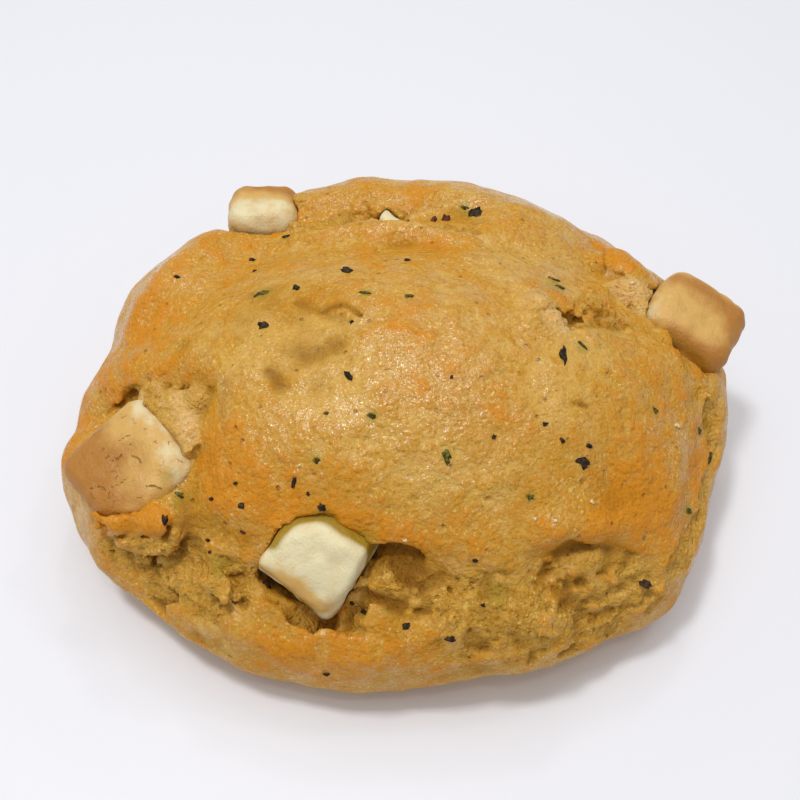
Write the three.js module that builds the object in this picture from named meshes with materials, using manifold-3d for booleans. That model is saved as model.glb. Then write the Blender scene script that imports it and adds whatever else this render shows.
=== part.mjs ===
// A savoury scone: one hand-shaped lump of dough, baked with cubes of cheese pushed into it and with
// cracked pepper in its crust. Millimetres, +Z up, +X to the right and -Y to the front. The dough rests
// on its flat base at z = 0, and the origin is under the middle of the whole.
import * as THREE from "three";
import { mergeVertices } from "three/addons/utils/BufferGeometryUtils.js";
import Module from "manifold-3d";

const wasm = await Module();
wasm.setup();

// ---------------------------------------------------------------- driving dimensions
const LENGTH = 95; // dough, left to right
const DEPTH = 77; // dough, front to back
const HEIGHT = 37; // dough, base to crown
const PEPPER = 1.1; // typical flake of cracked pepper
const PEPPER_THICKNESS = 0.8; // of which less than half stands clear of the crust
const GAP = 0.3; // clearance between a cheese cube and its socket

const DOUGH_DETAIL = 19; // subdivisions of the icosahedron that becomes the dough
const CHEESE_SEGMENTS = 6; // divisions along each edge of a cheese cube
const SCATTERED = 12; // small pepper flakes, spread by a rule
const SEED = 20;

const HALF_LENGTH = LENGTH / 2;
const HALF_DEPTH = DEPTH / 2;

const COLOURS = { dough: 0xc58a3c, baked: 0xd09a58, pale: 0xe9dba2 };

// ---------------------------------------------------------------- small helpers
const clamp = (value, low, high) => Math.min(high, Math.max(low, value));
const smoothStep = (value) => {
  const t = clamp(value, 0, 1);
  return t * t * (3 - 2 * t);
};
const degrees = (value) => (value * Math.PI) / 180;

// A seeded generator of even numbers in 0..1.
function randomFrom(seed) {
  let state = seed >>> 0;
  return () => {
    state = (Math.imul(state, 1664525) + 1013904223) >>> 0;
    return state / 4294967296;
  };
}

// Joins two distances with a fillet of about k.
function blend(a, b, k) {
  const h = clamp(0.5 + (0.5 * (b - a)) / k, 0, 1);
  return b + (a - b) * h - k * h * (1 - h);
}

// Smooth noise in -1..1 from random values at whole-number points.
function latticeValue(i, j, k) {
  let h = Math.imul(i, 374761393) + Math.imul(j, 668265263) + Math.imul(k, 2147483647 ^ 1274126177);
  h = Math.imul(h ^ (h >>> 13), 1274126177);
  return (((h ^ (h >>> 16)) >>> 0) / 4294967296) * 2 - 1;
}
function noise(x, y, z) {
  const i = Math.floor(x);
  const j = Math.floor(y);
  const k = Math.floor(z);
  const [u, v, w] = [smoothStep(x - i), smoothStep(y - j), smoothStep(z - k)];
  const lerp = THREE.MathUtils.lerp;
  const edge = (b, c) => lerp(latticeValue(i, j + b, k + c), latticeValue(i + 1, j + b, k + c), u);
  return lerp(lerp(edge(0, 0), edge(1, 0), v), lerp(edge(0, 1), edge(1, 1), v), w);
}

// ---------------------------------------------------------------- the lump of dough
// How far the widest part of the dough reaches from the middle, every 20 degrees from +X to +Y.
const REACH = [46.6, 46, 44.6, 41.6, 39.5, 38.8, 39.5, 39.5, 41.5, 47.2, 47.2, 44.6, 41.8, 40, 39.9, 42.6, 45.8, 46.8];
const WAIST = 9; // height of the widest part
const UNDERCUT = 14; // depth at which the dough would have closed below the waist

// Lobes that the dough swelled into: centre, half sizes, turn about Z in degrees and fillet to the rest.
const LOBES = [
  { name: "crown", at: [1.5, -4, 13], half: [39, 26.5, 24], turn: 0, fillet: 4 },
  { name: "rear_ledge", at: [4, 20.5, 15], half: [30, 16.5, 17], turn: -8, fillet: 1.2 },
  { name: "left_bulge", at: [-29, 11.5, 15], half: [12.5, 11.5, 13], turn: 25, fillet: 2 },
  { name: "rear_left_rim", at: [-26, 19.5, 16.5], half: [8.5, 6.5, 11], turn: 30, fillet: 2 },
  { name: "front_lip", at: [-12, -30.5, 8.5], half: [17, 8.5, 9.5], turn: -8, fillet: 3 },
  { name: "right_shoulder", at: [33, 4, 14], half: [13, 17, 13], turn: 0, fillet: 3 },
];

// Tears and swellings along straight lines on the surface: width is how far one spreads, and depth is
// how far it sinks, or how far it stands out where it is negative.
const STROKES = [
  { name: "rear_tear", from: [-19, 23, 28], to: [-8, 23.5, 29], width: 2.4, depth: 2.6 },
  { name: "rear_tear_middle", from: [-8, 23.5, 29], to: [10, 21.5, 30], width: 2.4, depth: 3 },
  { name: "left_notch", from: [-41, -7, 20], to: [-32, -9.5, 26.5], width: 3.6, depth: 3.5 },
  { name: "left_notch_end", from: [-32, -9.5, 26.5], to: [-25, -11.5, 29.5], width: 3, depth: 2.4 },
  { name: "left_seat", from: [-31, -15, 25], to: [-28.5, -18, 25], width: 4, depth: 2.6 },
  { name: "crown_crack", from: [15, -0.5, 35], to: [27, 1, 31.5], width: 1.8, depth: 1.3 },
  { name: "crown_crack_end", from: [27, 1, 31.5], to: [35, 4.5, 27.5], width: 2, depth: 1.6 },
  { name: "right_fold", from: [40, -2, 25], to: [42.5, -11, 19], width: 2.2, depth: 1.4 },
  { name: "right_fold_end", from: [42.5, -11, 19], to: [37.5, -23, 17], width: 2.2, depth: 1.2 },
  { name: "front_split_left", from: [-26, -24, 22], to: [-18, -29, 22], width: 3, depth: 1.2 },
  { name: "front_pocket", from: [-4, -32, 22.5], to: [1.5, -33, 21.5], width: 3.4, depth: 3 },
  { name: "front_split", from: [4, -32.5, 22], to: [15, -32, 21.5], width: 2.6, depth: 0.5 },
  { name: "front_hollow", from: [19.5, -30.5, 20], to: [28, -29.5, 18], width: 3.4, depth: 2.8 },
  { name: "front_lip", from: [18, -27, 24.3], to: [27, -25.5, 22.5], width: 2.4, depth: -0.9 },
  { name: "front_groove", from: [24, -34, 14.5], to: [29, -32.5, 14.5], width: 1.4, depth: 0.8 },
  { name: "front_valley", from: [-20, -34.5, 17.5], to: [-3, -37, 17.5], width: 3, depth: 1.1 },
  { name: "left_flap", from: [-36.5, -22.5, 19], to: [-29.5, -24, 22], width: 2.6, depth: -1.4 },
  { name: "left_crevice", from: [-34, -26.5, 15.5], to: [-26, -28.5, 18.5], width: 2.2, depth: 2 },
  { name: "shoulder_lump", from: [32.5, 17, 24.5], to: [34, 14.5, 25], width: 3, depth: -1.8 },
  { name: "shoulder_dip", from: [36, 8, 25], to: [30, 8, 28], width: 3, depth: 1.2 },
];

function segmentDistance(stroke, x, y, z) {
  const [ax, ay, az] = stroke.from;
  const [bx, by, bz] = stroke.to.map((value, axis) => value - stroke.from[axis]);
  const along = ((x - ax) * bx + (y - ay) * by + (z - az) * bz) / (bx * bx + by * by + bz * bz);
  const t = clamp(along, 0, 1);
  return Math.hypot(x - ax - t * bx, y - ay - t * by, z - az - t * bz);
}

// Evenly spaced samples around a circle joined by a smooth curve.
function around(samples, angle) {
  const count = samples.length;
  const place = (((angle / (2 * Math.PI)) * count) % count) + count;
  const first = Math.floor(place);
  const t = place - first;
  const [a, b, c, d] = [-1, 0, 1, 2].map((step) => samples[(first + step + count) % count]);
  return b + 0.5 * t * (c - a + t * (2 * a - 5 * b + 4 * c - d + t * (3 * (b - c) + d - a)));
}

function bodyDistance(x, y, z) {
  const reach = around(REACH, Math.atan2(y, x));
  const out = Math.hypot(x, y) / reach;
  const up = (z - WAIST) / (z > WAIST ? HEIGHT - WAIST - 7 : UNDERCUT);
  return ((out ** 2.2 + Math.abs(up) ** 2.2) ** (1 / 2.2) - 1) * 20;
}

function lobeDistance(lobe, x, y, z) {
  const turn = degrees(lobe.turn);
  const dx = x - lobe.at[0];
  const dy = y - lobe.at[1];
  const along = (Math.cos(turn) * dx + Math.sin(turn) * dy) / lobe.half[0];
  const across = (-Math.sin(turn) * dx + Math.cos(turn) * dy) / lobe.half[1];
  const up = (z - lobe.at[2]) / lobe.half[2];
  return (Math.hypot(along, across, up) - 1) * Math.min(...lobe.half);
}

function doughDistance(x, y, z) {
  let distance = bodyDistance(x, y, z);
  for (const lobe of LOBES) {
    distance = blend(distance, lobeDistance(lobe, x, y, z), lobe.fillet);
  }
  for (const stroke of STROKES) {
    distance += stroke.depth * Math.exp(-((segmentDistance(stroke, x, y, z) / stroke.width) ** 2));
  }
  return distance - 0.6 * noise(x / 13, y / 13, z / 13) - 0.35 * noise(x / 5, y / 5, z / 5);
}

// Walks in along each ray from outside until it meets the dough.
function doughGeometry() {
  const geometry = new THREE.IcosahedronGeometry(1, DOUGH_DETAIL);
  const point = geometry.getAttribute("position");
  const n = new THREE.Vector3();
  const start = new THREE.Vector3();
  const reach = new THREE.Vector3();
  const at = new THREE.Vector3();
  for (let i = 0; i < point.count; i++) {
    n.fromBufferAttribute(point, i);
    n.z += 0.3;
    n.normalize();
    start.set(n.x * HALF_LENGTH * 0.55, n.y * HALF_DEPTH * 0.55, 10 + n.z * 3);
    reach.set(n.x * HALF_LENGTH, n.y * HALF_DEPTH, 10 + n.z * HEIGHT * 0.7).sub(start);
    let outside = 2.2;
    while (outside > 0 && doughDistance(...at.copy(start).addScaledVector(reach, outside)) > 0) {
      outside -= 0.05;
    }
    let inside = outside;
    outside += 0.05;
    for (let step = 0; step < 12; step++) {
      const middle = (inside + outside) / 2;
      const free = doughDistance(...at.copy(start).addScaledVector(reach, middle)) > 0;
      if (free) outside = middle;
      else inside = middle;
    }
    at.copy(start).addScaledVector(reach, inside);
    point.setXYZ(i, at.x, at.y, at.z);
  }
  return geometry;
}

// ---------------------------------------------------------------- solids
function solidOf(geometry, matrix = new THREE.Matrix4()) {
  const bare = new THREE.BufferGeometry().setAttribute("position", geometry.getAttribute("position").clone());
  if (geometry.index) bare.setIndex(geometry.index);
  const merged = mergeVertices(bare.applyMatrix4(matrix), 1e-3);
  return new wasm.Manifold(
    new wasm.Mesh({
      numProp: 3,
      vertProperties: merged.attributes.position.array,
      triVerts: new Uint32Array(merged.index.array),
    }),
  );
}

function geometryOf(solid) {
  const mesh = solid.getMesh();
  const geometry = new THREE.BufferGeometry();
  geometry.setAttribute("position", new THREE.BufferAttribute(mesh.vertProperties.slice(), 3));
  geometry.setIndex(new THREE.BufferAttribute(mesh.triVerts.slice(), 1));
  geometry.computeVertexNormals();
  return geometry;
}

// ---------------------------------------------------------------- cheese
const CHEESES = [
  { name: "cheese_left", at: [-34.8, -14.3, 20], edge: [12.6, 12.6, 8.5], turn: [14, -14, 47], colour: "baked" },
  { name: "cheese_front", at: [-9.9, -28.6, 19.6], edge: [11.5, 10.5, 10.5], turn: [32, -2, 58], colour: "pale" },
  { name: "cheese_right", at: [40.8, 7.9, 20.5], edge: [13.5, 12, 11.5], turn: [8, 14, -34], colour: "baked" },
  { name: "cheese_rear_left", at: [-20.4, 26, 22], edge: [10.5, 9, 12], turn: [-12, 0, 4], colour: "baked" },
  { name: "cheese_rear", at: [-1.2, 24, 25.2], edge: [6, 6, 7], turn: [0, 8, 40], colour: "pale" },
];

function cheeseGeometry(edge, growth) {
  const segments = CHEESE_SEGMENTS;
  const geometry = new THREE.BoxGeometry(2, 2, 2, segments, segments, segments);
  const point = geometry.getAttribute("position");
  const rounding = 0.24 * Math.min(...edge);
  const p = new THREE.Vector3();
  const inner = new THREE.Vector3();
  const half = new THREE.Vector3(...edge).multiplyScalar(0.5);
  const core = half.clone().subScalar(rounding);
  for (let i = 0; i < point.count; i++) {
    p.fromBufferAttribute(point, i).multiply(half);
    inner.copy(p).clamp(core.clone().negate(), core);
    p.sub(inner).setLength(rounding + growth).add(inner);
    const bulge = 1 + 0.05 * noise(p.x / 4 + edge[0], p.y / 4, p.z / 4);
    p.multiplyScalar(bulge);
    point.setXYZ(i, p.x, p.y, p.z);
  }
  return geometry;
}

function placement(cheese) {
  const turn = new THREE.Euler(...cheese.turn.map(degrees));
  return new THREE.Matrix4().makeRotationFromEuler(turn).setPosition(...cheese.at);
}

// ---------------------------------------------------------------- pepper
// The flakes big enough to see from a step away: across, back, length, width and turn about the crust.
const FLAKES = [
  [20.3, -7.3, 2.8, 1.2, 95],
  [22.3, -19.6, 2.3, 1.7, 80],
  [10.8, 22.2, 2.2, 1.7, 120],
  [-17.2, -2.8, 1.8, 1.2, 30],
  [-29, -25.2, 1.7, 1.1, 70],
  [-7, 6.3, 1.4, 1.3, 0],
  [31.2, -29.3, 1.5, 1.1, 20],
  [-13.6, 3.6, 1.4, 1.1, 15],
  [6.5, 18, 1.5, 0.9, 85],
  [6, -37.6, 1.2, 1.1, 50],
  [0.7, -36.2, 1.2, 1, 10],
  [-19.2, -24.4, 1.2, 0.9, 60],
];
const SKIN = 0.02; // step for measuring the slope of the dough

function crustHeight(x, y) {
  let below = WAIST;
  let above = 2 * HEIGHT;
  for (let step = 0; step < 20; step++) {
    const middle = (below + above) / 2;
    if (doughDistance(x, y, middle) > 0) above = middle;
    else below = middle;
  }
  return below;
}

function crustNormal(x, y, z) {
  const here = doughDistance(x, y, z);
  const across = doughDistance(x + SKIN, y, z) - here;
  const back = doughDistance(x, y + SKIN, z) - here;
  const up = doughDistance(x, y, z + SKIN) - here;
  return new THREE.Vector3(across, back, up).normalize();
}

// One chip with ragged corners, lying along the crust.
function flakeSolid([x, y, length, width, turn], random) {
  const chip = mergeVertices(new THREE.IcosahedronGeometry(1, 0).deleteAttribute("normal").deleteAttribute("uv"));
  const corner = chip.getAttribute("position");
  for (let i = 0; i < corner.count; i++) {
    const ragged = 0.5 * (0.8 + 0.4 * random());
    corner.setXYZ(
      i,
      corner.getX(i) * length * ragged,
      corner.getY(i) * width * ragged,
      corner.getZ(i) * PEPPER_THICKNESS * 0.5,
    );
  }
  const z = crustHeight(x, y);
  const lie = new THREE.Quaternion().setFromUnitVectors(new THREE.Vector3(0, 0, 1), crustNormal(x, y, z));
  const matrix = new THREE.Matrix4().makeRotationFromQuaternion(lie).setPosition(x, y, z);
  matrix.multiply(new THREE.Matrix4().makeRotationZ(degrees(turn)));
  return solidOf(chip, matrix);
}

// Small flakes on a sunflower spiral over the crown, left out near cheese and near bigger flakes.
function scatteredFlakes(random) {
  const found = [];
  const goldenAngle = Math.PI * (3 - Math.sqrt(5));
  for (let k = 0; found.length < SCATTERED; k++) {
    const spread = Math.sqrt((k + 0.5) / (2 * SCATTERED));
    const angle = k * goldenAngle;
    const x = 0.78 * HALF_LENGTH * spread * Math.cos(angle) + 4 * (random() - 0.5);
    const y = 0.72 * HALF_DEPTH * spread * Math.sin(angle) + 4 * (random() - 0.5);
    const nearFlake = [...FLAKES, ...found].some(([fx, fy]) => Math.hypot(x - fx, y - fy) < 5);
    const nearCheese = CHEESES.some(({ at }) => Math.hypot(x - at[0], y - at[1]) < 10);
    const size = PEPPER * (0.8 + 0.4 * random());
    if (!nearFlake && !nearCheese) found.push([x, y, size, 0.75 * size, 360 * random()]);
  }
  return found;
}

// ---------------------------------------------------------------- assembly
function addPart(group, name, geometry, color, roughness) {
  const mesh = new THREE.Mesh(geometry, new THREE.MeshStandardMaterial({ color, roughness, metalness: 0 }));
  mesh.name = name;
  group.add(mesh);
}

const random = randomFrom(SEED);
const floor = new THREE.BoxGeometry(3 * LENGTH, 3 * DEPTH, HEIGHT).translate(0, 0, -HEIGHT / 2);
let dough = solidOf(doughGeometry()).subtract(solidOf(floor));
for (const cheese of CHEESES) {
  dough = dough.subtract(solidOf(cheeseGeometry(cheese.edge, GAP), placement(cheese)));
}
for (const flake of [...FLAKES, ...scatteredFlakes(random)]) {
  dough = dough.add(flakeSolid(flake, random));
}

const scone = new THREE.Group();
addPart(scone, "dough", geometryOf(dough), COLOURS.dough, 0.6);
for (const cheese of CHEESES) {
  const cube = cheeseGeometry(cheese.edge, 0).applyMatrix4(placement(cheese));
  addPart(scone, cheese.name, cube, COLOURS[cheese.colour], 0.5);
}
const middle = new THREE.Box3().setFromObject(scone).getCenter(new THREE.Vector3());
scone.position.set(-middle.x, -middle.y, 0);

export default scone;
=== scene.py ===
"""The looks of a savoury scone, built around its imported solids.

Lengths are millimetres unless a name says otherwise. Where each thing is, is said in pixels of an
800 x 800 picture; a path is written as column, row, column, row and so on.
"""

import math

import bmesh
import bpy
import numpy as np
import openvdb
from mathutils import Matrix, Vector
from mathutils.bvhtree import BVHTree


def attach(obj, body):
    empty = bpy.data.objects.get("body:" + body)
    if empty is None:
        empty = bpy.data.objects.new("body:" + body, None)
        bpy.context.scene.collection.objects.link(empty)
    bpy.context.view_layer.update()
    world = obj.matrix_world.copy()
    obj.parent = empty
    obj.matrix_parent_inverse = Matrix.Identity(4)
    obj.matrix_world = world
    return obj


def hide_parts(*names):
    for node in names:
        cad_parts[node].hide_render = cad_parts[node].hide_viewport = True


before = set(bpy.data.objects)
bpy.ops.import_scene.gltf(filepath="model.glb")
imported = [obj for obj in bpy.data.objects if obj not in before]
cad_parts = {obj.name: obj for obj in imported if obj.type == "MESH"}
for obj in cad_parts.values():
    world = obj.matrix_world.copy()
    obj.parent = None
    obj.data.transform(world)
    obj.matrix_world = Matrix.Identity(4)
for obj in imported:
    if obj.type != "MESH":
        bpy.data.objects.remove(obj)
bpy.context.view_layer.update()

MM = 0.001  # one millimetre, in Blender's metres
IMAGE_SIDE = 800  # pixels
CAMERA_AT = Vector((-0.9, -87.9, 135.4))
CAMERA_TILT = 54  # degrees below the horizon
CAMERA_FOCAL = 1044  # pixels
SENSOR = 36
MISS_STEP = 0.01  # how much of the way to its aim a ray that misses moves

DOUGH_VOXEL, DOUGH_BAND = 0.38, 9  # grid spacing, and how many voxels deep distances reach
CHEESE_VOXEL, CHEESE_BAND = 0.22, 8
MOST_TRIANGLES = 190_000  # in any one piece
CHEESES = {  # middle, edges and rounding in millimetres; turns about X, Y and Z in degrees
    "cheese_left": ((-35.1, -15.9, 19.8), (14.3, 14.3, 8.8), 2.2, (14, -14, 41)),
    "cheese_front": ((-11.2, -27.9, 19.9), (12.8, 11.6, 10.6), 1.1, (32, -2, 58)),
    "cheese_right": ((39.6, 7.8, 20.4), (13.2, 11.9, 11.4), 2.6, (8, 14, -34)),
    "cheese_rear_left": ((-21.3, 26.3, 22), (10.7, 9.3, 12.2), 2.8, (-12, 0, 4)),
    "cheese_rear": ((-2.1, 24.3, 25.2), (6, 6, 7), 1.0, (0, 8, 40)),
}
EVERYWHERE = (slice(None),) * 3  # all of a grid
FAR = 9  # farther than any distance that counts
FACET_BLUR, CREVICE_BLUR = 1.3, 3.0  # voxels
RAGGED_DROP = 0.4  # how far the ground drops where the crust is gone
NEAR_CUBE = 12  # closer than this to a cube's face, lumps stay under its plane
CLEAN_BASE = 1.5  # no pores and grains below this height
CUBE_GAP = 0.05  # between the dough and what it holds
FADED = 2.6  # how many spreads from its middle a soft spot is gone


# ---- volumes
def blurred(field, sigma):
    """A Gaussian blur along each axis in turn; sigma is in voxels."""
    reach = int(3 * sigma + 0.5)
    kernel = np.exp(-0.5 * (np.arange(-reach, reach + 1) / sigma) ** 2)
    kernel = (kernel / kernel.sum()).astype(np.float32)
    for axis in range(3):
        pad = [(reach, reach) if i == axis else (0, 0) for i in range(3)]
        padded = np.pad(field, pad, mode="edge")
        length = field.shape[axis]
        field = sum(
            weight * np.take(padded, range(k, k + length), axis=axis)
            for k, weight in enumerate(kernel)
        )
    return field


def soft_max(a, b, k):
    h = np.clip(0.5 + 0.5 * (a - b) / k, 0, 1)
    return b + (a - b) * h + k * h * (1 - h)


def soft_min(a, b, k):
    return -soft_max(-a, -b, k)


def past_plane(grid, point, normal):
    """How far places are along the normal of a plane through a point."""
    return sum((axis - at) * along for axis, at, along in zip(grid, point, normal))


def step_up(low, high, value):
    t = np.clip((value - low) / (high - low), 0, 1)
    return t * t * (3 - 2 * t)


class Volume:
    """Signed distances on a grid, less than zero inside, that can be carved and swelled."""

    def __init__(self, points, triangles, voxel, band):
        self.voxel = voxel
        self.transform = openvdb.createLinearTransform(voxelSize=voxel)
        grid = openvdb.FloatGrid.createLevelSetFromPolygons(
            points.astype(np.float32),
            triangles=triangles.astype(np.uint32),
            transform=self.transform,
            halfWidth=band,
        )
        low, high = (np.array(corner) for corner in grid.evalActiveVoxelBoundingBox())
        self.low = low - 2
        self.field = np.empty(tuple(high - low + 5), np.float32)
        grid.copyToArray(self.field, ijk=tuple(self.low.tolist()))

    def grid(self, part=EVERYWHERE):
        """The coordinates along each axis of part of the grid, shaped to be combined."""
        return np.ix_(*(
            (first + np.arange(size)).astype(np.float32)[where] * self.voxel
            for first, size, where in zip(self.low, self.field.shape, part)
        ))

    def window(self, low, high):
        """The part of the grid in a box, as slices and coordinates."""
        size = self.field.shape
        low, high = (np.asarray(corner, float) / self.voxel for corner in (low, high))
        first = np.clip(np.floor(low).astype(int) - self.low, 0, size)
        last = np.clip(np.ceil(high).astype(int) - self.low + 1, 0, size)
        part = tuple(slice(*ends) for ends in zip(first, last))
        return part, self.grid(part)

    def noise(self, cell, seed):
        """Smooth noise of unit spread with features of about cell millimetres."""
        step = cell / self.voxel
        counts = [int(math.ceil(n / step)) + 4 for n in self.field.shape]
        values = np.random.default_rng(seed).standard_normal(counts).astype(np.float32)
        for axis, n in enumerate(self.field.shape):
            place = np.arange(n) / step + 1
            first = np.floor(place).astype(int)
            t = place - first
            weights = (
                (1 - t) ** 3 / 6,
                (3 * t**3 - 6 * t**2 + 4) / 6,
                (-3 * t**3 + 3 * t**2 + 3 * t + 1) / 6,
                t**3 / 6,
            )
            spread = np.zeros((n, counts[axis]), np.float32)
            for k, weight in enumerate(weights):
                spread[np.arange(n), first - 1 + k] = weight
            values = np.moveaxis(np.tensordot(spread, values, (1, axis)), 0, axis)
        return values / values.std()

    def sample(self, values, points):
        """Values of a grid at points, joined linearly."""
        place = points / self.voxel - self.low
        top = np.array(values.shape) - 2
        first = np.clip(np.floor(place).astype(int), 0, top)
        t = np.clip(place - first, 0, 1)
        total = np.zeros(len(points), np.float32)
        for corner in np.ndindex(2, 2, 2):
            offset = np.array(corner)
            weight = np.prod(np.where(offset, t, 1 - t), axis=1)
            total += weight * values[tuple((first + offset).T)]
        return total

    def beyond(self, other, part=EVERYWHERE):
        """How far places in part of another grid are past the plane of this cube's face."""
        return past_plane(other.grid(part), self.top, self.face)

    def mesh(self):
        grid = openvdb.FloatGrid(float(self.field.max()))
        grid.copyFromArray(np.ascontiguousarray(self.field), ijk=tuple(self.low.tolist()))
        grid.transform = self.transform
        return grid.convertToQuads(0.0)


def segment_distance(grid, start, end):
    start = np.array(start, np.float32)
    way = np.array(end, np.float32) - start
    t = np.clip(past_plane(grid, start, way) / max(way @ way, 1e-6), 0, 1)
    return np.sqrt(sum((axis - a - t * b) ** 2 for axis, a, b in zip(grid, start, way)))


def mesh_points(mesh):
    points = np.empty(len(mesh.vertices) * 3, np.float32)
    mesh.vertices.foreach_get("co", points)
    return points.reshape(-1, 3) / MM


def node_arrays(node):
    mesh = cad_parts[node].data
    mesh.calc_loop_triangles()
    triangles = np.empty(len(mesh.loop_triangles) * 3, np.int32)
    mesh.loop_triangles.foreach_get("vertices", triangles)
    return mesh_points(mesh), triangles.reshape(-1, 3)


def make_object(name, points, faces):
    """A smooth-shaded object from millimetre points and faces of equal length."""
    count, sides = faces.shape
    mesh = bpy.data.meshes.new(name)
    mesh.vertices.add(len(points))
    mesh.vertices.foreach_set("co", (points * MM).astype(np.float32).ravel())
    mesh.loops.add(count * sides)
    mesh.loops.foreach_set("vertex_index", faces.astype(np.int32).ravel())
    mesh.polygons.add(count)
    mesh.polygons.foreach_set("loop_start", np.arange(0, count * sides, sides, dtype=np.int32))
    mesh.polygons.foreach_set("use_smooth", np.ones(count, bool))
    mesh.update(calc_edges=True)
    mesh.validate()
    obj = bpy.data.objects.new(name, mesh)
    bpy.context.scene.collection.objects.link(obj)
    return obj


def main_part(points, faces):
    """The largest connected part of a mesh, without the crumbs that hang loose beside it."""
    label = np.arange(len(points))
    ends = np.stack([faces, np.roll(faces, 1, axis=1)]).reshape(2, -1)
    while True:
        a, b = label[ends]
        if (a == b).all():
            break
        np.minimum.at(label, np.maximum(a, b), np.minimum(a, b))
        while (label != label[label]).any():
            label = label[label]
    kept = label == np.bincount(label).argmax()
    renumbered = np.cumsum(kept) - 1
    return points[kept], renumbered[faces[kept[faces[:, 0]]]]


def reduce(obj, most):
    """Applies a collapse so that the piece has at most this many triangles."""
    triangles = sum(len(p.vertices) - 2 for p in obj.data.polygons)
    if triangles <= most:
        return
    modifier = obj.modifiers.new("reduce", "DECIMATE")
    modifier.ratio = most / triangles
    graph = bpy.context.evaluated_depsgraph_get()
    mesh = bpy.data.meshes.new_from_object(obj.evaluated_get(graph))
    obj.modifiers.clear()
    obj.data = mesh
    mesh.polygons.foreach_set("use_smooth", np.ones(len(mesh.polygons), bool))


def add_attribute(obj, name, values):
    layer = obj.data.attributes.new(name, "FLOAT", "POINT")
    layer.data.foreach_set("value", values.astype(np.float32))


# ---- places on the crust
solids = [node_arrays(node) for node in ("dough", *CHEESES)]
firsts = np.cumsum([0] + [len(points) for points, _ in solids])
skin = BVHTree.FromPolygons(
    np.vstack([points for points, _ in solids]).tolist(),
    np.vstack([triangles + first for (_, triangles), first in zip(solids, firsts)]).tolist(),
)
TILT = math.radians(CAMERA_TILT)
LOOK = Vector((0, math.cos(TILT), -math.sin(TILT)))
UPRIGHT = Vector((0, math.sin(TILT), math.cos(TILT)))
MIDDLE_PIXEL = IMAGE_SIDE / 2


def ray_through(column, row):
    across = (column - MIDDLE_PIXEL) / CAMERA_FOCAL
    down = (row - MIDDLE_PIXEL) / CAMERA_FOCAL
    return (LOOK + Vector((across, 0, 0)) - UPRIGHT * down).normalized()


def seen(column, row, tree=None, aim=(MIDDLE_PIXEL, MIDDLE_PIXEL)):
    """The point of the crust at a pixel, or at the first that hits toward aim, and the way out."""
    hit = None
    while hit is None:
        hit, out, _, _ = (tree or skin).ray_cast(CAMERA_AT, ray_through(column, row))
        column += MISS_STEP * (aim[0] - column)
        row += MISS_STEP * (aim[1] - row)
    return hit, out


def pairs(path):
    """The pixels of a path, one column and row each."""
    return np.reshape(path, (-1, 2))


def on_crust(path, lift=0.0):
    """Points above (or, for a negative lift, under) the crust that shows along a path."""
    return [tuple(hit + out * lift) for hit, out in (seen(*pixel) for pixel in pairs(path))]


# ---- the dough
# The rows of these tables start with a path.
SWELLINGS = (  # spread, height
    (380, 201, 396, 201, 410, 206, 1.8, 0.7),
    (300, 241, 345, 232, 395, 228, 440, 234, 470, 242, 1.9, 1.3),
    (207, 243, 170, 268, 146, 300, 132, 335, 2, 0.8), (555, 532, 600, 536, 640, 546, 2, 0.3),
    (112, 520, 135, 527, 160, 524, 1.6, 0.7), (655, 350, 690, 375, 2.2, 0.5),
    (395, 330, 440, 380, 7, 0.35), (250, 450, 300, 470, 6, 0.4), (600, 258, 630, 268, 2.2, 0.8),
    (300, 655, 350, 660, 4, 0.5), (545, 322, 2.4, 0.9), (598, 300, 1.6, 0.6), (620, 292, 1.4, 0.7),
    (395, 577, 1.9, 1), (610, 255, 622, 268, 2, 0.8), (540, 297, 565, 306, 1.3, 0.8),
    (335, 345, 300, 352, 2, -0.4), (275, 372, 280, 385, 1.8, -0.6), (500, 330, 520, 360, 4, -0.5),
    (620, 335, 650, 345, 3, -0.4), (440, 590, 480, 620, 4, -0.6), (570, 600, 585, 610, 2.6, -0.7),
    (300, 302, 322, 310, 345, 318, 1, -0.3),
)
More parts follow.
